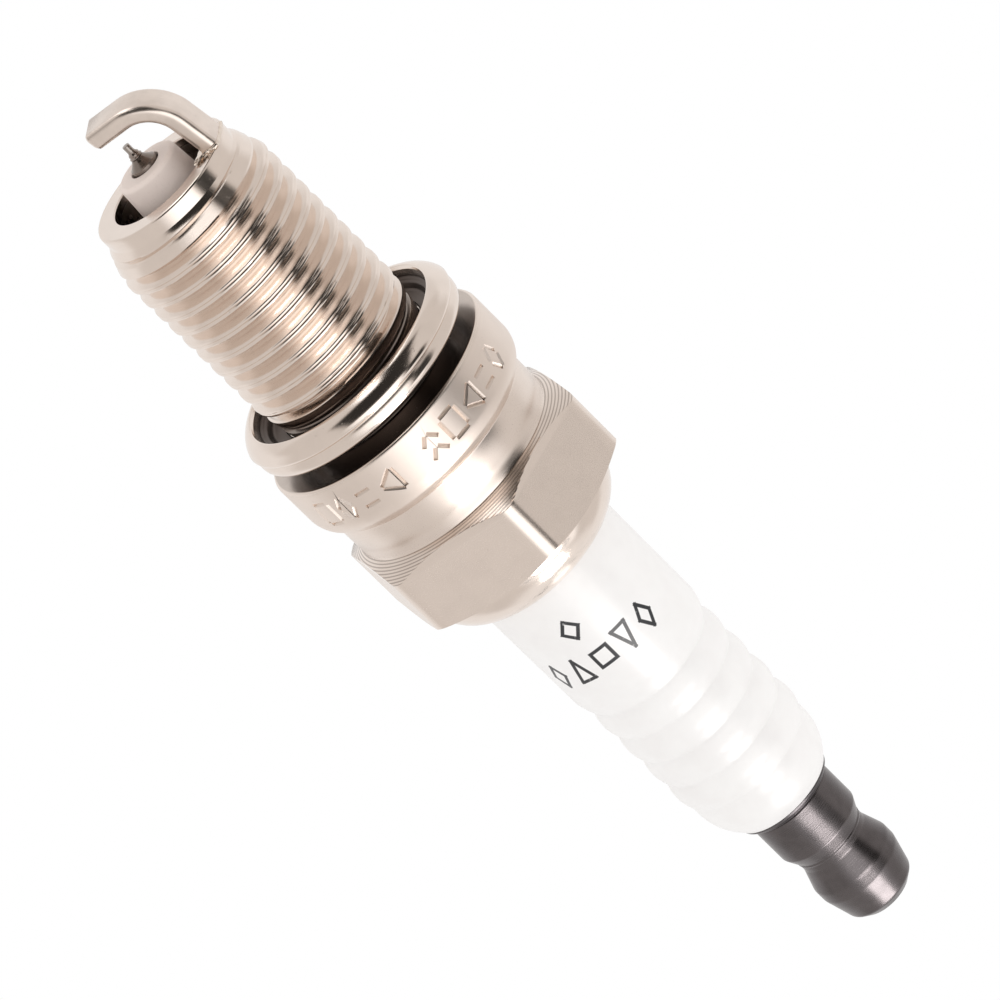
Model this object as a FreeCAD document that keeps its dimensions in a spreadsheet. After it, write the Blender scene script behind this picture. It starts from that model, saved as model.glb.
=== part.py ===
import FreeCAD, Part
import math
import os

import Sketcher

# A spark plug with an M12 x 1.25 thread of 19 mm reach and a 16 mm hexagon.
# Millimetres. Z runs along the axis towards the terminal. The origin is on the axis, in the plane
# of the seat face under the flange. The earth electrode is rooted on the -X side.

doc = FreeCAD.newDocument("spark_plug")
dims = doc.addObject("Spreadsheet::Sheet", "dims")

SIZES = [
    # metal shell, outside
    ("thread_dia", 11.9, "outer diameter of the cylinder-head thread"),
    ("thread_pitch", 1.25, "pitch of the cylinder-head thread"),
    ("thread_depth", 0.77, "depth of the cylinder-head thread"),
    ("reach", 19.4, "seat face to the firing end of the shell"),
    ("pilot_step", 0.9, "thread's crest down to the plain end"),
    ("pilot_dia", "=thread_dia - 2 * pilot_step", "plain end of the shell below the thread"),
    ("pilot_length", 1.0, "length of the plain end"),
    ("pilot_chamfer", 0.2, "chamfer round the firing end"),
    ("lead_in", 1.5, "cone from the pilot up to the full thread"),
    ("neck_step", 0.6, "thread's crest down to the relief"),
    ("neck_dia", "=thread_dia - 2 * neck_step", "relief under the seat, for the gasket"),
    ("neck_length", 1.2, "length of the relief"),
    ("runout_length", 3.6, "cone from the last thread to the relief"),
    ("flange_dia", 16.76, "seat flange"),
    ("flange_height", 3.0, "straight part of the flange"),
    ("flange_edge", 0.2, "chamfer round the seat face"),
    ("flange_round", 1.45, "height of the rounding over the flange"),
    ("waist_dia", 15.0, "waist between the flange and the hexagon"),
    ("waist_length", 2.65, "length of the waist"),
    ("hex_flats", 16.0, "across the flats of the hexagon"),
    ("hex_corner_round", 1.2, "radius along the hexagon's corners"),
    ("hex_lead", 1.05, "height of the chamfer under the hexagon"),
    ("hex_height", 3.95, "hexagon above its lower chamfer"),
    ("hex_top_round", 0.45, "height of the chamfer over the hexagon"),
    ("collar_height", 2.85, "height of the crimped collar"),
    ("collar_round", 4.05, "radius of the collar's dome"),
    # the space under the crimp, and what fills it
    ("slip", 0.05, "gap between the insulator and the metal round it"),
    ("insulator_dia", 10.24, "plain barrel above the collar"),
    ("throat_step", 0.2, "insulator's barrel down to its throat"),
    ("throat_dia", "=insulator_dia - 2 * throat_step", "insulator inside the crimped lip"),
    ("ring_wire", 1.0, "wire of the two rings round the talc"),
    ("ring_slack", 0.065, "room on each side of the wire"),
    ("talc_height", 0.95, "talc between the rings"),
    ("cavity_bore", "=throat_dia + 2 * ring_wire + 4 * ring_slack", "bore round the broad body"),
    ("cavity_floor", 1.9, "seat face to the foot of the broad bore"),
    ("cavity_cone", 1.4, "height of the cone at the foot of the broad bore"),
    ("collar_wall", 1.25, "wall of the crimped collar where it leaves the hexagon"),
    ("collar_dia", "=cavity_bore + 2 * collar_wall", "crimped collar where it leaves the hexagon"),
    ("lip_length", 0.85, "length of the crimped lip along the insulator"),
    ("lip_rise", 0.7, "height of the cone under the crimped lip"),
    (
        "lip_foot",
        "=flange_height + flange_round + waist_length + hex_lead + hex_height + hex_top_round"
        " + collar_height - lip_length - lip_rise",
        "seat face to the foot of the cone under the lip",
    ),
    ("ring_tuck", 0.03, "how far the upper ring reaches into that cone"),
    ("ring_seat", "=lip_foot + ring_tuck - 2 * ring_wire - talc_height", "foot of the lower ring"),
    ("ring_drop", 0.1, "lower ring down to the top of the broad body"),
    ("broad_height", "=ring_seat - ring_drop - cavity_floor - slip", "body held under the crimp"),
    # metal shell, inside
    ("end_bore", 7.3, "bore at the firing end"),
    ("ledge_bore", 6.6, "bore through the inner ledge"),
    ("ledge_depth", 8.2, "seat face to the underside of the inner ledge"),
    ("ledge_length", 1.0, "length of the inner ledge's bore"),
    ("thread_bore", 8.2, "bore above the inner ledge"),
    # insulator
    ("broad_cone", 0.45, "cone over the broad body"),
    ("nose_root_dia", 6.1, "nose where it leaves the shoulder"),
    ("nose_dia", 4.3, "nose at its tip"),
    ("nose_edge", 0.3, "radius round the nose's tip"),
    ("nose_beyond", 1.48, "nose tip beyond the firing end of the shell"),
    ("barrel_height", 8.7, "plain barrel from the collar to the ribs"),
    ("rib_start", 1.55, "run from the barrel down to the first valley"),
    ("rib_pitch", 2.33, "spacing of the valleys"),
    ("rib_count", 4, "ribs between the first and the last valley"),
    ("valley_dia", 9.46, "diameter in the valleys"),
    ("rib_round", 3.4, "radius of each rib"),
    ("crown_height", 3.33, "last valley to the top of the insulator"),
    ("crown_round", 4.5, "radius of the shoulder over the ribs"),
    ("top_dia", 7.1, "flat top of the insulator"),
    ("core_bore", 3.2, "bore for the seals, the resistor and the stud"),
    ("electrode_bore", 2.3, "bore through the nose"),
    # centre electrode
    ("electrode_gap", 0.03, "gap round the centre electrode"),
    ("head_depth", 7.3, "seat face to the top of the electrode's head"),
    ("head_height", 1.2, "height of the electrode's head"),
    ("copper_dia", 1.3, "copper core"),
    ("copper_cover", 1.6, "nickel left under the copper core"),
    ("cone_root_dia", 2.0, "electrode where it leaves the nose"),
    ("cone_end_dia", 0.84, "electrode where the weld starts"),
    ("cone_length", 0.75, "length of the coned end"),
    ("weld_length", 0.57, "length of the weld under the fine tip"),
    ("tip_dia", 0.4, "fine tip"),
    ("tip_length", 0.58, "length of the fine tip"),
    # earth electrode
    ("spark_gap", 0.97, "fine tip to the earth electrode"),
    ("strap_width", 2.55, "width of the earth electrode"),
    ("strap_thick", 1.25, "thickness of the earth electrode"),
    ("strap_round", 0.3, "radius along its edges"),
    ("strap_bend", 3.0, "outer radius of its bend"),
    ("strap_past", 0.9, "its end beyond the axis"),
    ("root_inset", 0.05, "its outer face inside the pilot's diameter"),
    ("bead_width", 0.22, "width of the weld bead round its root"),
    ("bead_height", 0.3, "height of the weld bead"),
    # core stack
    ("lower_seal_length", 3.0, "glass seal over the electrode's head"),
    ("resistor_length", 10.3, "resistor"),
    ("upper_seal_length", 4.0, "glass seal round the stud's end"),
    ("stud_socket", 2.5, "depth of the stud's end in the seal"),
    ("stud_end_dia", 2.5, "stud's end in the seal"),
    ("packing_thick", 0.5, "packing between the shoulder and the ledge"),
    # terminal
    ("stud_flange_dia", 7.0, "stud's flange on the insulator"),
    ("stud_flange", 0.45, "thickness of the stud's flange"),
    ("post_dia", 3.9, "M4 post for the terminal nut"),
    ("post_height", 7.75, "height of the post"),
    ("post_chamfer", 0.4, "chamfer on the post"),
    ("nut_gap", 0.1, "nut's bore larger than the post"),
    ("nut_dia", 6.04, "straight part of the terminal nut"),
    ("nut_straight", 2.9, "length of the straight part"),
    ("nut_neck_dia", 5.1, "neck of the terminal nut"),
    ("nut_neck_start", 3.75, "foot of the nut to the neck"),
    ("nut_neck_length", 1.0, "length of the neck"),
    ("nut_bulge_dia", 6.1, "widest part over the neck"),
    ("nut_bulge_height", 6.55, "foot of the nut to its widest upper part"),
    ("nut_shoulder_dia", 4.84, "upper shoulder of the nut"),
    ("nut_shoulder_height", 9.05, "foot of the nut to its upper shoulder"),
    ("nut_top_dia", 2.4, "flat top of the nut"),
    ("nut_height", 10.05, "height of the nut"),
    ("nut_bore_clear", 0.65, "top of the post to the end of the nut's bore"),
    ("nut_bore_depth", "=post_height + nut_bore_clear", "depth of the nut's bore"),
    # gasket
    ("gasket_dia", 16.5, "outer diameter of the gasket"),
    ("gasket_gap", 1.1, "free travel up to the seat face"),
    ("gasket_thick", 2.3, "thickness of the gasket"),
    ("gasket_crease", 0.25, "depth of the crease round the gasket"),
    ("gasket_face_dia", 15.2, "outer edge of its flat faces"),
    ("gasket_mouth_dia", 14.2, "mouth of the fold on the firing side"),
    ("gasket_floor", 1.35, "depth of the fold"),
    ("gasket_lip", 0.55, "thickness of the inner lip"),
    ("gasket_lip_width", 0.68, "width of the inner lip"),
    ("lip_clear", 0.03, "inner lip to the cone between the relief and the thread"),
    (
        "gasket_lip_dia",
        "=neck_dia + 2 * lip_clear"
        " + 2 * neck_step * (gasket_gap + gasket_thick - gasket_floor - neck_length) / runout_length",
        "inner lip, smaller than the thread",
    ),
    ("gasket_wall_dia", "=gasket_lip_dia + 2 * gasket_lip_width", "inner edge of its upper face"),
]
for row, (alias, size, note) in enumerate(SIZES, start=1):
    dims.set(f"A{row}", alias)
    dims.set(f"B{row}", str(size))
    dims.set(f"C{row}", note)
    dims.setAlias(f"B{row}", alias)
doc.recompute()

# Heights along the axis, as expressions on the sheet.
SHELL_END = "(0 - dims.reach)"
THREAD_TOP = "(0 - dims.neck_length - dims.runout_length)"
THREAD_FOOT = "(dims.pilot_length + dims.lead_in - dims.reach)"
WAIST_FOOT = "(dims.flange_height + dims.flange_round)"
HEX_FOOT = f"({WAIST_FOOT} + dims.waist_length)"
HEX_TOP = f"({HEX_FOOT} + dims.hex_lead + dims.hex_height + dims.hex_top_round)"
COLLAR_TOP = f"({HEX_TOP} + dims.collar_height)"
LEDGE_TOP = "(dims.ledge_length - dims.ledge_depth)"
NOSE_END = f"({SHELL_END} - dims.nose_beyond)"
BROAD_FOOT = "(dims.cavity_floor + dims.slip)"
BROAD_TOP = f"({BROAD_FOOT} + dims.broad_height - dims.broad_cone)"
FIRST_VALLEY = f"({COLLAR_TOP} + dims.barrel_height + dims.rib_start)"
LAST_VALLEY = f"({FIRST_VALLEY} + dims.rib_count * dims.rib_pitch)"
INSULATOR_TOP = f"({LAST_VALLEY} + dims.crown_height)"
HEAD_TOP = "(0 - dims.head_depth)"
HEAD_FOOT = f"({HEAD_TOP} - dims.head_height)"
CONE_END = f"({NOSE_END} - dims.cone_length)"
WELD_END = f"({CONE_END} - dims.weld_length)"
TIP_END = f"({WELD_END} - dims.tip_length)"
RESISTOR_FOOT = f"({HEAD_TOP} + dims.lower_seal_length)"
UPPER_SEAL_FOOT = f"({RESISTOR_FOOT} + dims.resistor_length)"
UPPER_SEAL_TOP = f"({UPPER_SEAL_FOOT} + dims.upper_seal_length)"
STUD_END = f"({UPPER_SEAL_TOP} - dims.stud_socket)"
NUT_FOOT = f"({INSULATOR_TOP} + dims.stud_flange)"
POST_TOP = f"({NUT_FOOT} + dims.post_height)"
GASKET_TOP = "(0 - dims.gasket_gap)"
GASKET_FOOT = "(0 - dims.gasket_gap - dims.gasket_thick)"
TALC_FOOT = "(dims.ring_seat + dims.ring_wire)"
TALC_TOP = f"({TALC_FOOT} + dims.talc_height)"

parts = []


def size_of(expression):
    """The number that an expression on the sheet gives."""
    return float(dims.evalExpression(expression))


def half(name):
    """The radius of the diameter that has this name on the sheet."""
    return f"dims.{name} / 2"


def origin_plane(body, role):
    return next(f for f in body.Origin.OriginFeatures if f.Role == role)


def outline_sketch(body, name, corners, plane="XZ_Plane"):
    """A closed outline in one of the body's planes. A corner is (across, up), as expressions.
    A third item is the radius of the arc to the next corner, which bulges to the right of travel,
    or to the left where the radius is negative."""
    sketch = body.newObject("Sketcher::SketchObject", name)
    sketch.AttachmentSupport = (origin_plane(body, plane), [""])
    sketch.MapMode = "FlatFace"
    points = [FreeCAD.Vector(size_of(c[0]), size_of(c[1]), 0) for c in corners]
    ends = []
    for index, corner in enumerate(corners):
        start, end = points[index], points[(index + 1) % len(points)]
        if len(corner) == 2:
            edge = Part.LineSegment(start, end)
        else:
            radius = size_of(corner[2])
            chord = end - start
            across = FreeCAD.Vector(chord.y, -chord.x, 0).normalize()
            rise = abs(radius) - math.sqrt(radius**2 - (chord.Length / 2) ** 2)
            edge = Part.Arc(start, (start + end) / 2 + across * math.copysign(rise, radius), end)
        line = sketch.addGeometry(edge, False)
        first = 1 if sketch.getPoint(line, 1).distanceToPoint(start) < 1e-6 else 2
        ends.append((line, first, 3 - first))
    for index, corner in enumerate(corners):
        line, first, _ = ends[index]
        before, _, last = ends[index - 1]
        sketch.addConstraint(Sketcher.Constraint("Coincident", before, last, line, first))
        place = points[index]
        for letter, kind, value, expression in (
            ("x", "DistanceX", place.x, corner[0]),
            ("z", "DistanceY", place.y, corner[1]),
        ):
            number = sketch.addConstraint(Sketcher.Constraint(kind, -1, 1, line, first, value))
            sketch.renameConstraint(number, f"{letter}{index}")
            sketch.setExpression(f"Constraints.{letter}{index}", expression)
        if len(corner) == 3:
            number = sketch.addConstraint(Sketcher.Constraint("Radius", line, abs(size_of(corner[2]))))
            sketch.renameConstraint(number, f"r{index}")
            sketch.setExpression(f"Constraints.r{index}", f"abs({corner[2]})")
    return sketch


def turned_body(label, corners):
    """A body of revolution about the axis."""
    body = doc.addObject("PartDesign::Body", label)
    body.Label = label
    sketch = outline_sketch(body, label + "_outline", corners)
    turn = body.newObject("PartDesign::Revolution", label + "_turn")
    turn.Profile = sketch
    turn.ReferenceAxis = (sketch, ["V_Axis"])
    turn.Angle = 360
    parts.append(body)
    return body


def ring_corners(inner, outer, foot, top):
    """The four corners of a plain ring or, with an inner radius of 0, of a disc."""
    return [(inner, foot), (outer, foot), (outer, top), (inner, top)]


# Metal shell: turned outline, rolled thread, six flats, rounded corners.
shell = turned_body(
    "metal_shell",
    [
        (half("end_bore"), SHELL_END),
        ("dims.pilot_dia / 2 - dims.pilot_chamfer", SHELL_END),
        (half("pilot_dia"), f"{SHELL_END} + dims.pilot_chamfer"),
        (half("pilot_dia"), f"{SHELL_END} + dims.pilot_length"),
        (half("thread_dia"), THREAD_FOOT),
        (half("thread_dia"), THREAD_TOP),
        (half("neck_dia"), "0 - dims.neck_length"),
        (half("neck_dia"), "0"),
        ("dims.flange_dia / 2 - dims.flange_edge", "0"),
        (half("flange_dia"), "dims.flange_edge"),
        (half("flange_dia"), "dims.flange_height", "dims.flange_round * 1.25"),
        (half("waist_dia"), WAIST_FOOT),
        (half("waist_dia"), HEX_FOOT),
        ("dims.hex_flats / sqrt(3) + 0.1", f"{HEX_FOOT} + dims.hex_lead"),
        ("dims.hex_flats / sqrt(3) + 0.1", f"{HEX_TOP} - dims.hex_top_round"),
        ("dims.hex_flats / sqrt(3) - dims.hex_top_round", HEX_TOP),
        (half("collar_dia"), HEX_TOP, "dims.collar_round"),
        ("dims.insulator_dia / 2 + dims.slip", COLLAR_TOP),
        ("dims.insulator_dia / 2 + dims.slip", f"{COLLAR_TOP} - dims.lip_length"),
        (half("cavity_bore"), "dims.lip_foot"),
        (half("cavity_bore"), "dims.cavity_floor"),
        (half("thread_bore"), "dims.cavity_floor - dims.cavity_cone"),
        (half("thread_bore"), f"{LEDGE_TOP} + (dims.thread_bore - dims.ledge_bore) / 4"),
        (half("ledge_bore"), LEDGE_TOP),
        (half("ledge_bore"), "0 - dims.ledge_depth"),
        (half("end_bore"), "0 - dims.ledge_depth - (dims.end_bore - dims.ledge_bore) / 2"),
    ],
)
groove_half = "dims.thread_depth * tan(30) + 0.1"
groove_height = f"{THREAD_TOP} - dims.thread_pitch / 2"
groove_sketch = outline_sketch(
    shell,
    "thread_groove_outline",
    [
        ("dims.thread_dia / 2 - dims.thread_depth", groove_height),
        ("dims.thread_dia / 2 + 0.02", f"{groove_height} - ({groove_half})"),
        ("dims.thread_dia / 2 + 0.02", f"{groove_height} + {groove_half}"),
    ],
)
groove = shell.newObject("PartDesign::Groove", "thread_groove")
groove.Profile = groove_sketch
groove.ReferenceAxis = (groove_sketch, ["V_Axis"])
groove.Angle = 360
turns = f"floor(({THREAD_TOP} - {THREAD_FOOT}) / dims.thread_pitch)"
thread = shell.newObject("PartDesign::LinearPattern", "thread")
thread.Originals = [groove]
thread.Direction = (next(f for f in shell.Origin.OriginFeatures if f.Role == "Z_Axis"), [""])
thread.Reversed = True
thread.setExpression("Occurrences", turns)
thread.setExpression("Length", f"({turns} - 1) * dims.thread_pitch")
shell.Tip = thread

# The hexagon is what is left of the turned blank inside six flats with rounded corners.
hex_corners = []
arc_centre = "(dims.hex_flats / 2 - dims.hex_corner_round) / cos(30)"
for turn_angle in range(0, 360, 60):
    for side, arc in ((-30, ["dims.hex_corner_round"]), (30, [])):
        across = f"{arc_centre} * cos({turn_angle}) + dims.hex_corner_round * cos({turn_angle + side})"
        up = f"{arc_centre} * sin({turn_angle}) + dims.hex_corner_round * sin({turn_angle + side})"
        hex_corners.append((across, up, *arc))
hex_sketch = outline_sketch(shell, "hexagon_outline", hex_corners, "XY_Plane")
hex_sketch.setExpression("AttachmentOffset.Base.z", f"{WAIST_FOOT} + dims.waist_length / 2")
blank_radius = "dims.hex_flats / sqrt(3) + 2"
blank_circle = Part.Circle(FreeCAD.Vector(0, 0, 0), FreeCAD.Vector(0, 0, 1), size_of(blank_radius))
blank = hex_sketch.addGeometry(blank_circle, False)
hex_sketch.addConstraint(Sketcher.Constraint("Coincident", blank, 3, -1, 1))
number = hex_sketch.addConstraint(Sketcher.Constraint("Radius", blank, size_of(blank_radius)))
hex_sketch.renameConstraint(number, "blank_radius")
hex_sketch.setExpression("Constraints.blank_radius", blank_radius)
flats = shell.newObject("PartDesign::Pocket", "hexagon")
flats.Profile = hex_sketch
flats.Type = "Length"
flats.Reversed = True
flats.setExpression("Length", f"{COLLAR_TOP} - ({WAIST_FOOT} + dims.waist_length / 2)")

# Gasket: a folded steel ring with two rolled bulges, a crease between them and an inner lip that
# the thread's run-out holds captive.
crease_height = "(0 - dims.gasket_gap - dims.gasket_thick / 2)"
turned_body(
    "outer_gasket",
    [
        (half("gasket_mouth_dia"), GASKET_FOOT),
        (half("gasket_face_dia"), GASKET_FOOT, "dims.gasket_thick / 3.2"),
        ("dims.gasket_dia / 2 - dims.gasket_crease", crease_height, "dims.gasket_thick / 3.2"),
        (half("gasket_face_dia"), GASKET_TOP),
        (half("gasket_wall_dia"), GASKET_TOP),
        (half("gasket_lip_dia"), f"{GASKET_FOOT} + dims.gasket_floor + dims.gasket_lip"),
        (half("gasket_lip_dia"), f"{GASKET_FOOT} + dims.gasket_floor"),
        (half("gasket_mouth_dia"), f"{GASKET_FOOT} + dims.gasket_floor"),
    ],
)

# Insulator: nose, shoulder, broad body under the crimp, plain barrel, ribs and crown.
shoulder_top = f"{LEDGE_TOP} + dims.packing_thick"
shoulder_rise = "(dims.thread_bore - 2 * dims.slip - dims.nose_root_dia) / 4"
valley_corners = [
    (half("valley_dia"), f"{FIRST_VALLEY} + {k} * dims.rib_pitch", "dims.rib_round")
    for k in range(int(size_of("dims.rib_count")))
]
turned_body(
    "insulator",
    [
        (half("electrode_bore"), NOSE_END),
        ("dims.nose_dia / 2 - dims.nose_edge", NOSE_END, "dims.nose_edge"),
        (half("nose_dia"), f"{NOSE_END} + dims.nose_edge"),
        (half("nose_root_dia"), shoulder_top),
        ("dims.thread_bore / 2 - dims.slip", f"{shoulder_top} + {shoulder_rise}"),
        ("dims.thread_bore / 2 - dims.slip", f"{BROAD_FOOT} - dims.cavity_cone"),
        ("dims.cavity_bore / 2 - dims.slip", BROAD_FOOT),
        ("dims.cavity_bore / 2 - dims.slip", BROAD_TOP),
        (half("throat_dia"), f"{BROAD_TOP} + dims.broad_cone"),
        (half("throat_dia"), COLLAR_TOP),
        (half("insulator_dia"), COLLAR_TOP),
        (half("insulator_dia"), f"{COLLAR_TOP} + dims.barrel_height"),
        *valley_corners,
        (half("valley_dia"), LAST_VALLEY, "dims.crown_round"),
        (half("top_dia"), INSULATOR_TOP),
        (half("core_bore"), INSULATOR_TOP),
        (half("core_bore"), HEAD_FOOT),
        (half("electrode_bore"), HEAD_FOOT),
    ],
)

# Packing: a thin coned ring between the insulator's shoulder and the shell's ledge.
packing_inner = "(dims.ledge_bore / 2 + dims.slip)"
packing_outer = "(dims.thread_bore / 2 - dims.slip)"
packing_rise = f"({packing_outer} - {packing_inner}) / 2"
ledge_line = f"{LEDGE_TOP} + dims.slip / 2"
turned_body(
    "nose_packing",
    [
        (packing_inner, ledge_line),
        (packing_outer, f"{ledge_line} + {packing_rise}"),
        (packing_outer, f"{ledge_line} + {packing_rise} + dims.packing_thick - dims.slip"),
        (packing_inner, f"{ledge_line} + dims.packing_thick - dims.slip"),
    ],
)

# Wire rings and talc in the annular space under the crimped lip.
for label, height in (
    ("lower_wire_ring", "dims.ring_seat + dims.ring_wire / 2"),
    ("upper_wire_ring", f"{TALC_TOP} + dims.ring_wire / 2"),
):
    ring = doc.addObject("Part::Torus", label)
    ring.Label = label
    ring.setExpression("Radius1", "(dims.cavity_bore + dims.throat_dia) / 4")
    ring.setExpression("Radius2", "dims.ring_wire / 2")
    ring.setExpression("Placement.Base.z", height)
    parts.append(ring)
turned_body(
    "talc_ring",
    ring_corners(
        "dims.throat_dia / 2 + dims.slip / 2",
        "dims.cavity_bore / 2 - dims.slip / 2",
        TALC_FOOT,
        TALC_TOP,
    ),
)

# Centre electrode: nickel sheath with a head in the bore, copper core, weld and fine tip.
rod_radius = "(dims.electrode_bore / 2 - dims.electrode_gap)"
copper_foot = f"{NOSE_END} + dims.copper_cover"
turned_body(
    "centre_electrode_sheath",
    [
        ("0", CONE_END),
        (half("cone_end_dia"), CONE_END),
        (half("cone_root_dia"), NOSE_END),
        (rod_radius, f"{NOSE_END} + dims.nose_edge"),
        (rod_radius, HEAD_FOOT),
        ("dims.core_bore / 2 - dims.electrode_gap", HEAD_FOOT),
        ("dims.core_bore / 2 - dims.electrode_gap", HEAD_TOP),
        (half("copper_dia"), HEAD_TOP),
        (half("copper_dia"), copper_foot),
        ("0", copper_foot),
    ],
)
turned_body("centre_electrode_core", ring_corners("0", half("copper_dia"), copper_foot, HEAD_TOP))
turned_body(
    "tip_weld",
    [
        ("0", WELD_END),
        ("dims.tip_dia / 2 + 0.02", WELD_END),
        (half("cone_end_dia"), CONE_END),
        ("0", CONE_END),
    ],
)
turned_body("iridium_tip", ring_corners("0", half("tip_dia"), TIP_END, WELD_END))

# Conductive core: glass seal, resistor and the seal round the stud's knurled end.
core_radius = "(dims.core_bore / 2 - dims.electrode_gap)"
turned_body("lower_glass_seal", ring_corners("0", core_radius, HEAD_TOP, RESISTOR_FOOT))
turned_body("resistor", ring_corners("0", core_radius, RESISTOR_FOOT, UPPER_SEAL_FOOT))
turned_body(
    "upper_glass_seal",
    [
        ("0", UPPER_SEAL_FOOT),
        (core_radius, UPPER_SEAL_FOOT),
        (core_radius, UPPER_SEAL_TOP),
        ("dims.stud_end_dia / 2 + dims.electrode_gap", UPPER_SEAL_TOP),
        ("dims.stud_end_dia / 2 + dims.electrode_gap", STUD_END),
        ("0", STUD_END),
    ],
)

# Terminal stud: knurled end, shank, flange on the insulator and M4 post.
turned_body(
    "terminal_stud",
    [
        ("0", STUD_END),
        (half("stud_end_dia"), STUD_END),
        (half("stud_end_dia"), UPPER_SEAL_TOP),
        (core_radius, UPPER_SEAL_TOP),
        (core_radius, INSULATOR_TOP),
        (half("stud_flange_dia"), INSULATOR_TOP),
        ("dims.stud_flange_dia / 2 - dims.stud_flange / 2", NUT_FOOT),
        (half("post_dia"), NUT_FOOT),
        (half("post_dia"), f"{POST_TOP} - dims.post_chamfer"),
        ("dims.post_dia / 2 - dims.post_chamfer", POST_TOP),
        ("0", POST_TOP),
    ],
)

# Terminal nut: straight skirt, neck for the cap's spring, bulge and shouldered top over a blind bore.
nut_bore = "(dims.post_dia / 2 + dims.nut_gap / 2)"
turned_body(
    "terminal_nut",
    [
        (nut_bore, NUT_FOOT),
        (half("nut_dia"), NUT_FOOT),
        (half("nut_dia"), f"{NUT_FOOT} + dims.nut_straight"),
        (half("nut_neck_dia"), f"{NUT_FOOT} + dims.nut_neck_start"),
        (half("nut_neck_dia"), f"{NUT_FOOT} + dims.nut_neck_start + dims.nut_neck_length"),
        (half("nut_bulge_dia"), f"{NUT_FOOT} + dims.nut_bulge_height"),
        (half("nut_shoulder_dia"), f"{NUT_FOOT} + dims.nut_shoulder_height", "dims.nut_shoulder_dia * 0.4"),
        (half("nut_top_dia"), f"{NUT_FOOT} + dims.nut_height"),
        ("0", f"{NUT_FOOT} + dims.nut_height"),
        ("0", f"{NUT_FOOT} + dims.nut_bore_depth"),
        (nut_bore, f"{NUT_FOOT} + dims.nut_bore_depth"),
    ],
)

# Earth electrode: a flat bar, welded to the shell's end, bent over the fine tip.
root_out = "(dims.root_inset - dims.pilot_dia / 2)"
root_in = f"({root_out} + dims.strap_thick)"
arm_in = f"({TIP_END} - dims.spark_gap)"
arm_out = f"({arm_in} - dims.strap_thick)"
bend_foot = f"({arm_out} + dims.strap_bend)"
strap = doc.addObject("PartDesign::Body", "ground_electrode")
strap.Label = "ground_electrode"
strap_sketch = outline_sketch(
    strap,
    "strap_outline",
    [
        (root_in, SHELL_END),
        (root_out, SHELL_END),
        (root_out, bend_foot, "dims.strap_bend"),
        (f"{root_out} + dims.strap_bend", arm_out),
        ("dims.strap_past", arm_out),
        ("dims.strap_past", arm_in),
        (f"{root_out} + dims.strap_bend", arm_in, "dims.strap_thick - dims.strap_bend"),
        (root_in, bend_foot),
    ],
)
bar = strap.newObject("PartDesign::Pad", "strap_bar")
bar.Profile = strap_sketch
bar.SideType = "Symmetric"
bar.setExpression("Length", "dims.strap_width")
doc.recompute()
side_edges = []
for index, edge in enumerate(bar.Shape.Edges, start=1):
    on_side = edge.BoundBox.YLength < 1e-3
    at_root = edge.BoundBox.ZMin > size_of(SHELL_END) - 1e-3
    if on_side and not at_root:
        side_edges.append(f"Edge{index}")
bar_edges = strap.newObject("PartDesign::Fillet", "strap_edges")
bar_edges.Base = (bar, side_edges)
bar_edges.setExpression("Radius", "dims.strap_round")
parts.append(strap)

# Weld bead: a low rim round three sides of the bar's root, trimmed to the shell's outside.
bead_blank = doc.addObject("Part::Box", "bead_blank")
bead_blank.setExpression("Length", "dims.strap_thick + dims.bead_width")
bead_blank.setExpression("Width", "dims.strap_width + 2 * dims.bead_width")
bead_blank.setExpression("Height", "dims.bead_height")
bead_blank.setExpression("Placement.Base.x", root_out)
bead_blank.setExpression("Placement.Base.y", "0 - dims.strap_width / 2 - dims.bead_width")
bead_blank.setExpression("Placement.Base.z", f"{SHELL_END} - dims.bead_height")
bar_root = doc.addObject("Part::Box", "bar_root")
bar_root.setExpression("Length", "dims.strap_thick")
bar_root.setExpression("Width", "dims.strap_width")
bar_root.setExpression("Height", "2 * dims.bead_height")
bar_root.setExpression("Placement.Base.x", root_out)
bar_root.setExpression("Placement.Base.y", "0 - dims.strap_width / 2")
bar_root.setExpression("Placement.Base.z", f"{SHELL_END} - 2 * dims.bead_height")
bead_collar = doc.addObject("Part::Cut", "bead_collar")
bead_collar.Base = bead_blank
bead_collar.Tool = bar_root
pilot_disc = doc.addObject("Part::Cylinder", "pilot_disc")
pilot_disc.setExpression("Radius", "dims.pilot_dia / 2")
pilot_disc.setExpression("Height", "2 * dims.bead_height")
pilot_disc.setExpression("Placement.Base.z", f"{SHELL_END} - 2 * dims.bead_height")
bead = doc.addObject("Part::Common", "ground_weld")
bead.Label = "ground_weld"
bead.Base = bead_collar
bead.Tool = pilot_disc
parts.append(bead)

doc.recompute()

for item in doc.Objects:
    if "Invalid" in item.State or "Error" in item.State:
        raise SystemExit(f"{item.Label} did not recompute: {item.State}")
for part in parts:
    if part.Shape.isNull() or not part.Shape.isValid() or len(part.Shape.Solids) != 1:
        raise SystemExit(f"{part.Label} is not one valid solid")

os.makedirs("parts", exist_ok=True)
for part in parts:
    part.Shape.exportStep(f"parts/{part.Label}.step")
    box = part.Shape.BoundBox
    print(f"{part.Label}: {part.Shape.Volume:.2f} mm3, z {box.ZMin:.2f} to {box.ZMax:.2f}")
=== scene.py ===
import math

import bpy
import numpy as np
from mathutils import Matrix, Vector, noise


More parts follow.
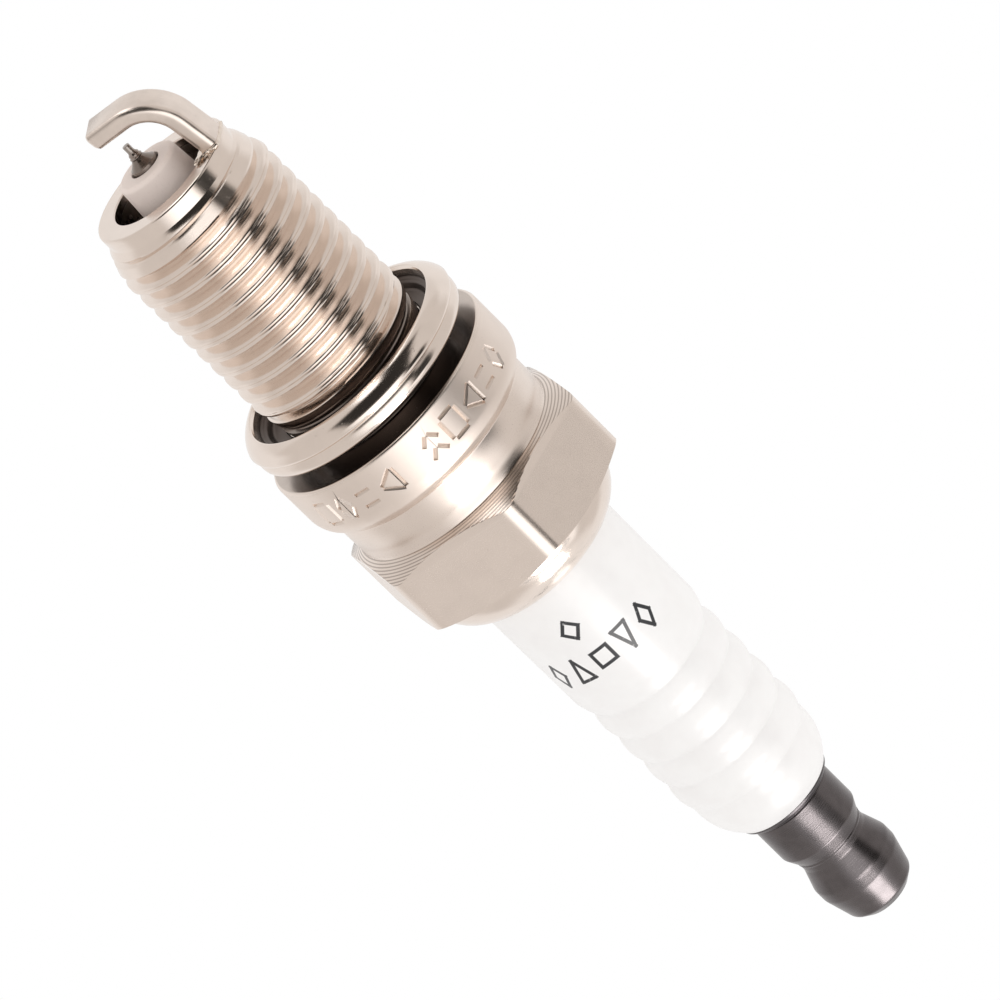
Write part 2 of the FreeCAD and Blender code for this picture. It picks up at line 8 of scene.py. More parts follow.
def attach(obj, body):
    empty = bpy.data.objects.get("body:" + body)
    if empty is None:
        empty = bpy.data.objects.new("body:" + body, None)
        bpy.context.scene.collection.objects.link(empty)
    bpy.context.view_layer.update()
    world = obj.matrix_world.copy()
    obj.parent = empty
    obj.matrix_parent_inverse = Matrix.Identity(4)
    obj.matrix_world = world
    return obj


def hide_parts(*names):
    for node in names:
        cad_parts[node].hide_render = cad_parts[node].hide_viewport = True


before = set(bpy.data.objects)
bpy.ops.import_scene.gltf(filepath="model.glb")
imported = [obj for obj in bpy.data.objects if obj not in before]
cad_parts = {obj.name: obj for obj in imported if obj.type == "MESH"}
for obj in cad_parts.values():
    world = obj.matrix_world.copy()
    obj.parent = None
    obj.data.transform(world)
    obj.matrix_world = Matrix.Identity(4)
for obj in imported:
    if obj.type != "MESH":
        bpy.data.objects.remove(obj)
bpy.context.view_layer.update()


# Camera: a long lens 475 mm from the hexagon's middle, below and beside the plug, so that the
# firing end points up and towards it. Turned 44.5 degrees about its own line of sight.
def hold(*pieces):
    """Selects these pieces and nothing else, and makes the last of them the active one."""
    bpy.ops.object.select_all(action="DESELECT")
    for piece in pieces:
        piece.select_set(True)
        bpy.context.view_layer.objects.active = piece


MM = 0.001
camera_turn = math.radians(-26)
camera_rise = math.radians(-22.5)
camera_roll = math.radians(44.5)
camera_distance = 475
aimed_at = Vector((0, 0, 10.95))
towards_camera = Vector(
    (
        math.sin(camera_turn) * math.cos(camera_rise),
        -math.cos(camera_turn) * math.cos(camera_rise),
        math.sin(camera_rise),
    )
)
sideways = Vector((-math.cos(camera_turn), -math.sin(camera_turn), 0))
axis_in_view = sideways.cross(towards_camera)
view_right = axis_in_view * math.cos(camera_roll) + sideways * math.sin(camera_roll)
view_up = sideways * math.cos(camera_roll) - axis_in_view * math.sin(camera_roll)
hold()
bpy.ops.object.camera_add()
camera = bpy.context.object
camera.name = "long_lens"
camera_place = (aimed_at + towards_camera * camera_distance) * MM
camera.matrix_world = Matrix.Translation(camera_place) @ Matrix(
    (view_right, view_up, towards_camera)
).transposed().to_4x4()
camera.data.sensor_width = 36
camera.data.lens = 278.4
camera.data.shift_x = 0.0070
camera.data.shift_y = 0.0071
camera.data.clip_start = 0.01
camera.data.clip_end = 10
bpy.context.scene.camera = camera
bpy.context.scene.view_settings.view_transform = "Standard"


# Light and floor: a soft studio for the bright plate to mirror. Its walls are tan and paler at the
# back, with a white panel behind the camera, a dark screen to the left of that and another below
# the firing end. The floor is plain and pale.
class Wire:
    """A shader socket that Python's arithmetic works on."""

    def __init__(self, bench, socket):
        self.bench = bench
        self.socket = socket

    def maths(self, operation, *others, clamp=False):
        values = dict(enumerate((self, *others)))
        settings = {"operation": operation, "use_clamp": clamp}
        return self.bench.add("ShaderNodeMath", settings, values)

    def __add__(self, other):
        return self.maths("ADD", other)

    def __radd__(self, other):
        return self.maths("ADD", other)

    def __sub__(self, other):
        return self.maths("SUBTRACT", other)

    def __rsub__(self, other):
        return (self * -1) + other

    def __mul__(self, other):
        return self.maths("MULTIPLY", other)

    def __rmul__(self, other):
        return self.maths("MULTIPLY", other)

    def __truediv__(self, other):
        return self.maths("DIVIDE", other)

    def __pow__(self, other):
        return self.maths("POWER", other)

    def __abs__(self):
        return self.maths("ABSOLUTE")

    def sine(self):
        return self.maths("SINE")

    def higher_of(self, other):
        return self.maths("MAXIMUM", other)

    def rises(self, low, high):
        """0 below low, 1 above high, smooth between them."""
        values = {"Value": self, "From Min": low, "From Max": high}
        return self.bench.add("ShaderNodeMapRange", {"interpolation_type": "SMOOTHSTEP"}, values)

    def falls(self, low, high):
        return 1 - self.rises(low, high)

    def between(self, low, high, soft):
        """1 from low to high, with soft edges."""
        return self.rises(low - soft, low + soft) * self.falls(high - soft, high + soft)


class Bench:
    """A node tree, and the one way that nodes are put in it."""

    def __init__(self, tree):
        self.tree = tree

    def add(self, kind, settings=None, values=None, out=0):
        node = self.tree.nodes.new(kind)
        for name, setting in (settings or {}).items():
            setattr(node, name, setting)
        for name, value in (values or {}).items():
            if isinstance(value, Wire):
                self.tree.links.new(value.socket, node.inputs[name])
            else:
                node.inputs[name].default_value = value
        return Wire(self, node.outputs[out]) if node.outputs else None

    def blend(self, amount, under, over):
        """A colour between two colours."""
        values = {0: amount, 6: under, 7: over}
        return self.add("ShaderNodeMix", {"data_type": "RGBA"}, values, out=2)

    def part_along(self, vector, direction):
        values = {0: vector, 1: direction}
        return self.add("ShaderNodeVectorMath", {"operation": "DOT_PRODUCT"}, values, out="Value")

    def split(self, vector):
        """The three parts of a vector."""
        first = self.add("ShaderNodeSeparateXYZ", values={0: vector})
        return [Wire(self, socket) for socket in first.socket.node.outputs]

    def bump(self, strength, depth, height):
        """Relief on the surface, with its depth in metres."""
        values = {"Strength": strength, "Distance": depth, "Height": height}
        return self.add("ShaderNodeBump", values=values)


studio = bpy.data.worlds.new("studio")
bpy.context.scene.world = studio
studio.use_nodes = True
studio.node_tree.nodes.clear()
light = Bench(studio.node_tree)
direction = light.add("ShaderNodeTexCoord", out="Generated")
facing = Vector((math.sin(camera_turn), -math.cos(camera_turn), 0))
ahead = light.part_along(direction, facing)
beside = light.part_along(direction, -sideways)
above = light.part_along(direction, (0, 0, 1))
bearing = beside.maths("ARCTAN2", ahead) * (180 / math.pi)
# brightness of the walls and of what hangs on them; bearings are in degrees from the camera's
pale, tan, dark = 0.93, 0.73, 0.035
white, bright = 1.6, 1.15
white_below, pale_below = 2.3, 0.82
back_wall = abs(bearing).rises(100, 122)
white_panel = bearing.rises(-30, -16) * bearing.falls(12, 46) * above.falls(0.76, 0.92)
dark_panel = bearing.between(-58, -28, 5.0) * above.falls(0.42, 0.56)
bright_panel = bearing.between(-50, -26, 5.0) * above.between(0.50, 0.82, 0.06)
round_about = (
    tan
    + back_wall * (pale - tan)
    + white_panel * (white - tan)
    + dark_panel * (dark - tan)
    + bright_panel * (bright - tan)
)
# under the firing end: a dark screen on the camera's side that reaches round to the left, and a
# white one beyond it
screen = ahead.rises(0.10, 0.26) * abs(beside).falls(0.50, 0.62)
reach_round = ahead.rises(-0.24, -0.10) * beside.between(-0.52, -0.08, 0.05)
hidden = screen.higher_of(reach_round)
beyond = (
    tan
    + beside.between(-0.26, 0.13, 0.07) * ahead.rises(-0.64, -0.48) * (white_below - tan)
    + ahead.falls(-0.62, -0.48) * (pale_below - tan)
)
below = hidden * dark + (1 - hidden) * beyond
under = above.falls(-0.52, -0.30)
over = above.rises(0.82, 0.95)
level = under * below + (1 - under) * round_about
level = over * pale + (1 - over) * level
warm = light.blend(level.rises(0.5, 1.0), (1.0, 0.925, 0.865, 1), (1.0, 0.985, 0.975, 1))
mirrored = light.add("ShaderNodeBackground", values={"Color": warm, "Strength": level})
# matt surfaces are lit by an even white, and the camera sees plain white behind the plug
soft_level = 1.0 + 0.10 * ahead - 0.06 * beside
soft = light.add(
    "ShaderNodeBackground", values={"Color": (1.0, 0.985, 0.975, 1), "Strength": soft_level}
)
sweep = light.add("ShaderNodeBackground", values={"Color": (1, 1, 1, 1), "Strength": 1.0})
is_mirrored = light.add("ShaderNodeLightPath", out="Is Glossy Ray")
is_seen = light.add("ShaderNodeLightPath", out="Is Camera Ray")
lit = light.add("ShaderNodeMixShader", values={0: is_mirrored, 1: soft, 2: mirrored})
shown = light.add("ShaderNodeMixShader", values={0: is_seen, 1: lit, 2: sweep})
light.add("ShaderNodeOutputWorld", values={"Surface": shown})

floor_size, floor_height = 4000, -420
hold()
bpy.ops.mesh.primitive_plane_add(size=floor_size * MM, location=(0, 0, floor_height * MM))
floor = bpy.context.object
floor.name = "floor"
floor.visible_glossy = False


def new_finish(name):
    """An empty material, its bench, its shader and Object coordinates in millimetres."""
    material = bpy.data.materials.new(name)
    material.use_nodes = True
    material.node_tree.nodes.clear()
    bench = Bench(material.node_tree)
    surface = bench.add("ShaderNodeBsdfPrincipled")
    bench.add("ShaderNodeOutputMaterial", values={"Surface": surface})
    place = bench.add("ShaderNodeTexCoord", out="Object")
    in_mm = bench.add("ShaderNodeVectorMath", {"operation": "SCALE"}, {0: place, "Scale": 1000})
    return material, bench, surface.socket.node, in_mm


def feed(shader, **values):
    """Sets or links the shader's sockets; an underline in a name stands for a space."""
    for name, value in values.items():
        socket = shader.inputs[name.replace("_", " ")]
        if isinstance(value, Wire):
            value.bench.tree.links.new(value.socket, socket)
        else:
            socket.default_value = value


def grain(bench, in_mm, scale, detail=3.0, roughness=0.55):
    """Fractal noise with this many cells to the millimetre."""
    values = {"Vector": in_mm, "Scale": scale, "Detail": detail, "Roughness": roughness}
    return bench.add("ShaderNodeTexNoise", values=values)


def paint(obj, material):
    obj.data.materials.clear()
    obj.data.materials.append(material)


floor_paper, bench, shader, in_mm = new_finish("floor_paper")
fibre = grain(bench, in_mm, 0.08)
feed(
    shader,
    Base_Color=bench.blend(fibre, (0.95, 0.95, 0.945, 1), (0.98, 0.98, 0.975, 1)),
    Roughness=0.9,
)
paint(floor, floor_paper)

# cards close to the terminal: two lights that draw its highlights, and a flag that breaks them
cards = [
    # name, distance from the axis, tilt, lower and upper edge, breadth, strength
    ("side_light", 60, 0, 52, 67.5, 40, 8.5),
    ("flag", 58, 0, 68, 74, 76, 0.02),
    ("top_light", 34, 45, 78, 108, 32, 8.0),
]
for name, reach, tilt, low_edge, high_edge, breadth, strength in cards:
    hold()
    bpy.ops.mesh.primitive_plane_add(size=MM)
    card = bpy.context.object
    card.name = name
    card.matrix_world = (
        Matrix.Translation((facing * reach + Vector((0, 0, (low_edge + high_edge) / 2))) * MM)
        @ Matrix.Rotation(camera_turn, 4, "Z")
        @ Matrix.Rotation(math.radians(90 - tilt), 4, "X")
        @ Matrix.Diagonal((breadth, high_edge - low_edge, 1, 1))
    )
    card.visible_camera = card.visible_diffuse = card.visible_shadow = False
    card_cloth, bench, shader, in_mm = new_finish(name)
    weave = grain(bench, in_mm, 0.3)
    feed(
        shader,
        Base_Color=(0.0, 0.0, 0.0, 1),
        Specular_IOR_Level=0.0,
        Emission_Color=bench.blend(weave, (1.0, 0.97, 0.955, 1), (0.96, 0.93, 0.915, 1)),
        Emission_Strength=strength,
    )
    paint(card, card_cloth)


# Metal shell: one piece of steel, cold formed and turned, with a rolled thread, six flats, a
# stamped flange and a collar crimped over the insulator, all plated with bright nickel.
def rounded(corners, steps=4):
    """Replaces each corner that has a radius by an arc, with a close row of edges beside it."""
    made = []
    for index, corner in enumerate(corners):
        if len(corner) == 2:
            made.append(corner)
            continue
        here = Vector(corner[:2])
        back = Vector(corners[index - 1][:2]) - here
        on = Vector(corners[(index + 1) % len(corners)][:2]) - here
        half_angle = back.angle(on) / 2
        reach = min(corner[2] / math.tan(half_angle), back.length * 0.45, on.length * 0.45)
        radius = reach * math.tan(half_angle)
        start, end = here + back.normalized() * reach, here + on.normalized() * reach
        centre = here + (back.normalized() + on.normalized()).normalized() * (
            radius / math.sin(half_angle)
        )
        made.append(tuple(start + back.normalized() * min(0.03, reach * 0.2)))
        for step in range(steps + 1):
            spoke = (start - centre).lerp(end - centre, step / steps)
            made.append(tuple(centre + spoke.normalized() * radius))
        made.append(tuple(end + on.normalized() * min(0.03, reach * 0.2)))
    return made


def bulge(start, end, radius, steps=8):
    """Points of an arc from start to end, both left out, that bulges to the right of travel."""
    start, end = Vector(start), Vector(end)
    chord = end - start
    across = Vector((chord.y, -chord.x)).normalized()
    depth = math.sqrt(radius**2 - (chord.length / 2) ** 2)
    centre = (start + end) / 2 - across * depth
    points = []
    for step in range(1, steps):
        spoke = (start - centre).lerp(end - centre, step / steps).normalized()
        points.append(tuple(centre + spoke * radius))
    return points


def extrude(x, y, z):
    """Extrudes what is selected by this many millimetres."""
    shift = (x * MM, y * MM, z * MM)
    bpy.ops.mesh.extrude_region_move(TRANSFORM_OT_translate={"value": shift})


def merge_and_face_out(threshold):
    bpy.ops.mesh.select_all(action="SELECT")
    bpy.ops.mesh.remove_doubles(threshold=threshold)
    bpy.ops.mesh.normals_make_consistent(inside=False)
    bpy.ops.object.mode_set(mode="OBJECT")


def turned_piece(name, corners, sides=160, ends="ring"):
    """A lathe-turned piece: a circle, extruded and scaled from corner to corner. With ends
    "ring" the last corner meets the first, with "caps" both end circles are filled, with "open"
    neither."""
    hold()
    radius, height = corners[0]
    bpy.ops.mesh.primitive_circle_add(
        vertices=sides, radius=radius * MM, location=(0, 0, height * MM)
    )
    piece = bpy.context.object
    piece.name = piece.data.name = name
    bpy.ops.object.mode_set(mode="EDIT")
    bpy.ops.mesh.select_mode(type="EDGE")
    bpy.ops.mesh.select_all(action="SELECT")
    if ends == "caps":
        bpy.ops.mesh.edge_face_add()
        bpy.ops.mesh.select_mode(type="EDGE")
    route = corners + [corners[0]] if ends == "ring" else corners
    for (radius, height), (new_radius, new_height) in zip(route, route[1:]):
        extrude(0, 0, new_height - height)
        if new_radius != radius:
            scale = new_radius / radius
            bpy.ops.transform.resize(
                value=(scale, scale, 1), center_override=(0, 0, new_height * MM)
            )
    merge_and_face_out(2e-7)
    bpy.ops.object.transform_apply(location=True)
    return piece


def smooth(piece, angle):
    """Shades smooth across edges that turn by less than this many degrees."""
    hold(piece)
    bpy.ops.object.shade_smooth_by_angle(angle=math.radians(angle))


thread_pitch = 1.25
thread_foot, thread_top = -18.4, -1.2
pilot_radius, neck_radius = 5.05, 5.35
crest_radius, root_radius = 5.95, 5.17
sides = 160

# the cone under the flats keeps the fine rings of its turning
machined_cone = []
cone_foot, cone_top = Vector((7.5, 7.1)), Vector((9.34, 8.15))
turned_rings, ridge_lift = 10, Vector((0.010, -0.016))
for ring in range(turned_rings):
    machined_cone.append(tuple(cone_foot.lerp(cone_top, (ring + 0.15) / turned_rings)))
    ridge = cone_foot.lerp(cone_top, (ring + 0.8) / turned_rings) + ridge_lift
    machined_cone.append(tuple(ridge))

shell_corners = rounded(
    [
        (neck_radius, thread_top),
        (neck_radius, 0, 0.1),
        (8.38, 0, 0.24),
        (8.38, 2.95),
        *bulge((8.38, 2.95), (8.12, 3.82), 1.9, 5),
        (8.12, 3.82),
        (8.08, 3.86),
        *bulge((8.08, 3.86), (7.52, 4.4), 1.5, 4),
        (7.52, 4.4, 0.2),
        (7.5, 6.15),
        (7.475, 6.2),
        (7.475, 6.9),
        *machined_cone,
        (9.34, 8.15),
        (9.34, 11.92),
        (8.0, 12.6, 0.1),
        (7.3, 12.66, 0.12),
        *bulge((7.3, 12.7), (5.3, 15.38), 3.2, 12),
        (5.3, 15.4, 0.06),
        (5.17, 15.4, 0.04),
        (5.17, 14.55),
        (6.05, 13.85),
        (6.05, 1.9),
        (4.1, 0.5),
        (4.1, -6.8),
        (3.3, -7.2),
        (3.3, -8.2),
        (3.65, -8.55),
        (3.65, -19.4, 0.09),
        (pilot_radius, -19.4, 0.17),
        (pilot_radius, -18.75),
        (pilot_radius, thread_foot),
    ]
)
shell = turned_piece("shell_body", shell_corners, sides, ends="open")

# the thread follows its helix, which extrusion can't, so a grid is wrapped round the axis; each
# row of the grid is one step along the tooth, whose crest was rolled up from both sides
crest_height, crest_bearing = -9.8, 244
crest_line = crest_height - thread_pitch * crest_bearing / 360
tooth = [
    (0.0, 5.17), (0.03, 5.2), (0.11, 5.4), (0.2, 5.6), (0.29, 5.76), (0.35, 5.845),
    (0.385, 5.895), (0.42, 5.93), (0.465, 5.945), (0.51, 5.94), (0.555, 5.905),
    (0.58, 5.885), (0.605, 5.905), (0.65, 5.94), (0.71, 5.95), (0.765, 5.945),
    (0.80, 5.92), (0.835, 5.86), (1.0, 5.555), (1.15, 5.275), (1.22, 5.19),
]
first_turn, last_turn = -8, 9
rows = [
    (crest_line - thread_pitch / 2 + turn * thread_pitch + along, radius)
    for turn in range(first_turn, last_turn + 1)
    for along, radius in tooth
]
row_heights = np.array([row[0] for row in rows])
row_radii = np.array([row[1] for row in rows])
hold()
bpy.ops.mesh.primitive_grid_add(x_subdivisions=sides, y_subdivisions=len(rows) - 1, size=2)
thread = bpy.context.object
grid = np.empty(len(thread.data.vertices) * 3)
thread.data.vertices.foreach_get("co", grid)
grid = grid.reshape(-1, 3)
angle = (grid[:, 0] + 1) * math.pi
row = np.rint((grid[:, 1] + 1) / 2 * (len(rows) - 1)).astype(int)
height = row_heights[row] + thread_pitch * angle / (2 * math.pi)
lead_in = np.interp(height, [thread_foot, -17.95, -16.3], [pilot_radius, 5.36, crest_radius])
run_out = np.interp(height, [-4.7, thread_top], [crest_radius, neck_radius])
filled = np.interp(height, [-4.9, -3.2, thread_top], [root_radius, neck_radius, neck_radius])
# the crests are slightly uneven
wear_depth, worn_above = 0.012, 5.8
wear = np.array(
    [
        noise.noise((math.cos(a) * 9, math.sin(a) * 9, h * 2.2))
        + 0.6 * noise.noise((math.cos(a) * 31, math.sin(a) * 31, h * 5.0))
        for a, h in zip(angle % (2 * math.pi), height)
    ]
)
on_crest = np.clip((row_radii[row] - worn_above) / 0.1, 0, 1)
radius = row_radii[row] + wear * wear_depth * on_crest
radius = np.maximum(np.minimum(np.minimum(radius, lead_in), run_out), filled * (height > -5))
height = np.clip(height, thread_foot, thread_top)
radius = np.where(height <= thread_foot, pilot_radius, radius)
radius = np.where(height >= thread_top, neck_radius, radius)
grid[:, 0] = np.cos(angle) * radius * MM
grid[:, 1] = np.sin(angle) * radius * MM
grid[:, 2] = height * MM
thread.data.vertices.foreach_set("co", grid.ravel())
thread.data.update()
hold(thread, shell)
bpy.ops.object.join()
bpy.ops.object.mode_set(mode="EDIT")
bpy.ops.mesh.select_all(action="SELECT")
bpy.ops.mesh.remove_doubles(threshold=1e-6)
bpy.ops.mesh.dissolve_degenerate(threshold=1e-7)
bpy.ops.mesh.normals_make_consistent(inside=False)
bpy.ops.object.mode_set(mode="OBJECT")


def cut(piece, cutter):
    """Cuts the cutter's shape out of the piece and throws the cutter away."""
    hold(piece)
    modifier = piece.modifiers.new("cut", "BOOLEAN")
    modifier.operation = "DIFFERENCE"
    modifier.object = cutter
    modifier.solver = "MANIFOLD"
    bpy.ops.object.modifier_apply(modifier=modifier.name)
    bpy.data.objects.remove(cutter, do_unlink=True)


# six flats with rounded corners, two of them square to the X axis, cut by a collar that has a
# hexagonal hole
across_flats, corner_round = 16.0, 1.15
flats_foot, flats_top, collar_radius = 5.6, 17.0, 12
flats_middle = (0, 0, (flats_top + flats_foot) / 2 * MM)
hold()
bpy.ops.mesh.primitive_cylinder_add(
    vertices=6,
    radius=across_flats / math.sqrt(3) * MM,
    depth=(flats_top - flats_foot + 2) * MM,
    location=flats_middle,
    rotation=(0, 0, math.radians(30)),
)
hexagon = bpy.context.object
bpy.ops.object.mode_set(mode="EDIT")
bpy.ops.mesh.select_mode(type="EDGE")
bpy.ops.mesh.select_all(action="DESELECT")
bpy.ops.object.mode_set(mode="OBJECT")
for edge in hexagon.data.edges:
    a, b = (hexagon.data.vertices[i].co for i in edge.vertices)
    edge.select = abs(a.z - b.z) > 0.001
bpy.ops.object.mode_set(mode="EDIT")
corner_cut = corner_round * math.tan(math.radians(30))
bpy.ops.mesh.bevel(offset=corner_cut * MM, segments=8, affect="EDGES")
bpy.ops.object.mode_set(mode="OBJECT")
hold()
bpy.ops.mesh.primitive_cylinder_add(
    vertices=48,
    radius=collar_radius * MM,
    depth=(flats_top - flats_foot) * MM,
    location=flats_middle,
)
collar = bpy.context.object
cut(collar, hexagon)


def closed(*points):
    """The strokes that join these points and come back to the first."""
    return list(zip(points, points[1:] + points[:1]))


# a row of plain marks stamped round the flange, each of them a few straight strokes
diamond = closed((-0.55, 0), (0, 0.85), (0.55, 0), (0, -0.85))
bars = [((-0.6, 0.45), (0.6, 0.45)), ((-0.6, -0.45), (0.6, -0.45))]
wedge = closed((-0.6, -0.8), (0.6, 0), (-0.6, 0.8))
box = closed((-0.6, -0.75), (0.6, -0.75), (0.6, 0.75), (-0.6, 0.75))
chevrons = [
    ((-0.6, 0.8), (0, 0.1)),
    ((0, 0.1), (0.6, 0.8)),
    ((-0.6, -0.1), (0, -0.8)),
    ((0, -0.8), (0.6, -0.1)),
]
stamps = [diamond, bars, wedge, box, chevrons, [], wedge, bars, diamond, box]
camera_side = -116
first_stamp, stamp_step, stamp_scale = camera_side - 51, 12.4, 1.15
flange_radius, stamp_height, stamp_gap, stamp_depth = 8.38, 1.9, 0.14, 0.15
strokes = []
for slot, stamp in enumerate(stamps):
    turn = math.radians(first_stamp + slot * stamp_step)
    for start, end in stamp:
        start, end = Vector(start) * stamp_scale, Vector(end) * stamp_scale
        length = (end - start).length - 2 * stamp_gap
        middle = (start + end) / 2
        bearing_there = turn + middle.x / flange_radius
        outward = Vector((math.cos(bearing_there), math.sin(bearing_there), 0))
        sweep_round = Vector((-outward.y, outward.x, 0))
        run = ((end - start).x * sweep_round + (end - start).y * Vector((0, 0, 1))).normalized()
        hold()
        bpy.ops.mesh.primitive_cylinder_add(vertices=4, radius=stamp_depth * MM, depth=length * MM)
        stroke = bpy.context.object
        place = outward * flange_radius + Vector((0, 0, stamp_height + middle.y))
        stroke.matrix_world = Matrix.Translation(place * MM) @ Matrix(
            (outward, run.cross(outward), run)
        ).transposed().to_4x4()
        strokes.append(stroke)
hold(*strokes, collar)
bpy.ops.object.join()
cut(shell, collar)
smooth(shell, 30)
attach(shell, "root")
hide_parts("metal_shell")


def tinted(colour, share):
    """The colour with this share of its light."""
    return tuple(part * share for part in colour[:3]) + (1,)


def plating(
    name,
    colour,
    roughness,
    turned=0.0,
    turned_pitch=0.05,
    blotch=0.05,
    satins=(),
    painted_shade_bands=(),
    cone_groove_shade=None,
):
    """Bright plate over turned steel: fine rings round the axis, a faint cloud and small pits.
    A satin is a band that is duller: its foot, its top, the radius that it starts at, its
    roughness, and the share of the relief that is tooth. A painted shade band is dark colour
    painted where shade falls, in a recess or a bore: its foot, its top, its inner and outer
    radius, and how dark. The cone groove shade is painted shade in the grooves of the turned
    rings on a cone: the cone's foot and radius, its spread, and the pitch of the rings."""
    material, bench, shader, in_mm = new_finish(name)
    # the pits' colour is the plate's own; the groove colour is painted shade
    pit_colour, groove_shade_colour = (0.38, 0.31, 0.26, 1), (0.13, 0.095, 0.08, 1)
    # painted shade colour for the recesses and the bore
    painted_shade_colour = (0.050, 0.033, 0.026, 1)
    x, y, z = bench.split(in_mm)
    from_axis = (x * x + y * y) ** 0.5
    cloud = grain(bench, in_mm, 0.7, 4.0)
    fine = grain(bench, in_mm, 9.0, 2.0)
    pits = grain(bench, in_mm, 3.3, 5.0, 0.7).rises(0.66, 0.74)
    shade = bench.blend(cloud.rises(0.35, 0.75) * 0.5, colour, tinted(colour, 0.93))
    shade = bench.blend(pits * 0.35, shade, pit_colour)
    rings = ((z + from_axis * 0.7 + cloud * 0.02) * (2 * math.pi / turned_pitch)).sine()
    rough = roughness + cloud * blotch + pits * 0.12
    relief = rings * turned + fine * 0.35 - pits * 0.9
    speckle = grain(bench, in_mm, 22.0, 2.0)
    for foot, top, inner, satin_roughness, tooth_share in satins:
        here = z.between(foot, top, 0.15) * from_axis.rises(inner, inner + 0.1)
        rough = rough * (1 - here) + here * (satin_roughness + speckle * 0.1)
        relief = relief * (1 - here * tooth_share) + here * tooth_share * speckle * 1.1
    # painted shade: dark lines in the grooves between the turned rings of the cone
    if cone_groove_shade is not None:
        cone_z, cone_radius, cone_spread, ring_pitch = cone_groove_shade
        on_cone = from_axis - (z - cone_z) * cone_spread - cone_radius
        painted_groove_shade = ((z - cone_z) * (2 * math.pi / ring_pitch)).sine().rises(0.1, 0.9)
        painted_groove_shade = painted_groove_shade * on_cone.between(-0.06, 0.1, 0.02)
        painted_groove_shade = painted_groove_shade * z.between(cone_z, cone_z + 1.1, 0.03)
        shade = bench.blend(painted_groove_shade * 0.5, shade, groove_shade_colour)
    # painted shade: bands darkened where shade falls in recesses and the bore, and made rougher
    for foot, top, inner, outer, share in painted_shade_bands:
        here = z.between(foot, top, 0.08) * from_axis.between(inner, outer, 0.05) * share
        shade = bench.blend(here, shade, painted_shade_colour)
        rough = rough + here * 0.22
    feed(
        shader,
        Base_Color=shade,
        Metallic=1.0,
        Roughness=rough,
        Normal=bench.bump(0.5, 0.000006, relief),
    )
    return material


nickel = (0.84, 0.745, 0.675, 1)
shell_plate = plating(
    "bright_nickel",
    nickel,
    0.12,
    turned=0.12,
    satins=[
        (8.0, 12.6, 7.8, 0.21, 1.0),
        (0.1, 4.3, 7.0, 0.33, 0.3),
        (4.3, 7.0, 7.0, 0.24, 0.25),
    ],
    # painted shade under the flange and along the neck, on the relief behind the gasket, and inside
    # the bore
    painted_shade_bands=[
        (-1.5, -0.02, 5.0, 8.2, 0.95),
        (-3.7, -1.5, 5.0, 5.6, 0.7),
        (-18.9, 14.0, 0.0, 4.2, 0.6),
    ],
    # painted shade in the grooves of the turned rings on the cone under the flats
    cone_groove_shade=(7.1, 7.5, 1.84 / 1.05, 0.105),
)
paint(shell, shell_plate)


# Gasket: a strip of plated steel folded into a ring of two rolls, captive under the flange
# because its inner lip is smaller than the thread. It slides on the relief until it is crushed.
gasket_corners = rounded(
    [
        (5.53, -2.04, 0.08),
        (6.35, -2.1, 0.2),
        (6.6, -2.55, 0.2),
        (6.95, -2.6, 0.18),
        (7.05, -3.2, 0.2),
        (7.18, -3.42, 0.1),
        (7.33, -3.4),
        *bulge((7.33, -3.4), (8.24, -2.46), 1.6, 8),
        (8.24, -2.46),
        *bulge((8.24, -2.46), (8.0, -2.14), 0.34, 5),
        (8.0, -2.12, 0.03),
        *bulge((8.0, -2.08), (7.72, -1.09), 0.62, 8),
        (7.66, -1.08),
        (6.45, -1.08, 0.15),
        (6.1, -1.5, 0.2),
        (5.53, -1.56, 0.1),
    ]
)
gasket = turned_piece("folded_gasket", gasket_corners, sides)
smooth(gasket, 40)
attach(gasket, "gasket")
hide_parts("outer_gasket")
gasket_plate = plating(
    "gasket_plate",
    nickel,
    0.10,
    turned=0.05,
    blotch=0.08,
    # painted shade on the gasket's inner side and on its top face under the flange
    painted_shade_bands=[(-3.3, -1.0, 5.0, 7.0, 0.95), (-1.2, -1.0, 5.0, 8.0, 0.9)],
)
paint(gasket, gasket_plate)


# Earth electrode: a flat nickel-alloy bar with rounded edges, bent over the centre electrode and
# resistance welded to the end of the shell.
strap_width, strap_thick, strap_edge = 2.55, 1.25, 0.42
strap_out, strap_bend, arm_end, arm_tip = -5.0, 2.9, 1.05, 0.14
arm_low, strap_root = -24.76, -19.36
lean = math.tan(math.radians(8.5))
arm_shift = lean * (strap_root - arm_low)
root_middle = ((strap_out + strap_thick / 2) * MM, 0, strap_root * MM)
hold()
bpy.ops.mesh.primitive_plane_add(size=MM, location=root_middle)
strap = bpy.context.object
strap.name = strap.data.name = "earth_electrode"
bpy.ops.object.mode_set(mode="EDIT")
bpy.ops.transform.resize(value=(strap_thick, strap_width, 1), center_override=root_middle)
bpy.ops.mesh.bevel(offset=strap_edge * MM, segments=6, affect="VERTICES")
bpy.ops.mesh.select_mode(type="FACE")
bpy.ops.mesh.select_all(action="SELECT")
bend_height = arm_low + strap_bend
stem = strap_root - bend_height
for share in (0.1, 0.4, 0.4, 0.1):
    extrude(0, 0, -stem * share)
bend_middle = strap_out + strap_bend
bpy.ops.mesh.spin(
    steps=18,
    angle=math.pi / 2,
    center=(bend_middle * MM, 0, bend_height * MM),
    axis=(0, 1, 0),
)
last = arm_end - arm_shift
extrude(last - bend_middle - arm_tip, 0, 0)
extrude(arm_tip, 0, 0)
bpy.ops.transform.resize(
    value=(1, 0.92, 0.86),
    center_override=(last * MM, 0, (arm_low + strap_thick / 2) * MM),
)
merge_and_face_out(1e-7)
bpy.ops.object.transform_apply(location=True)
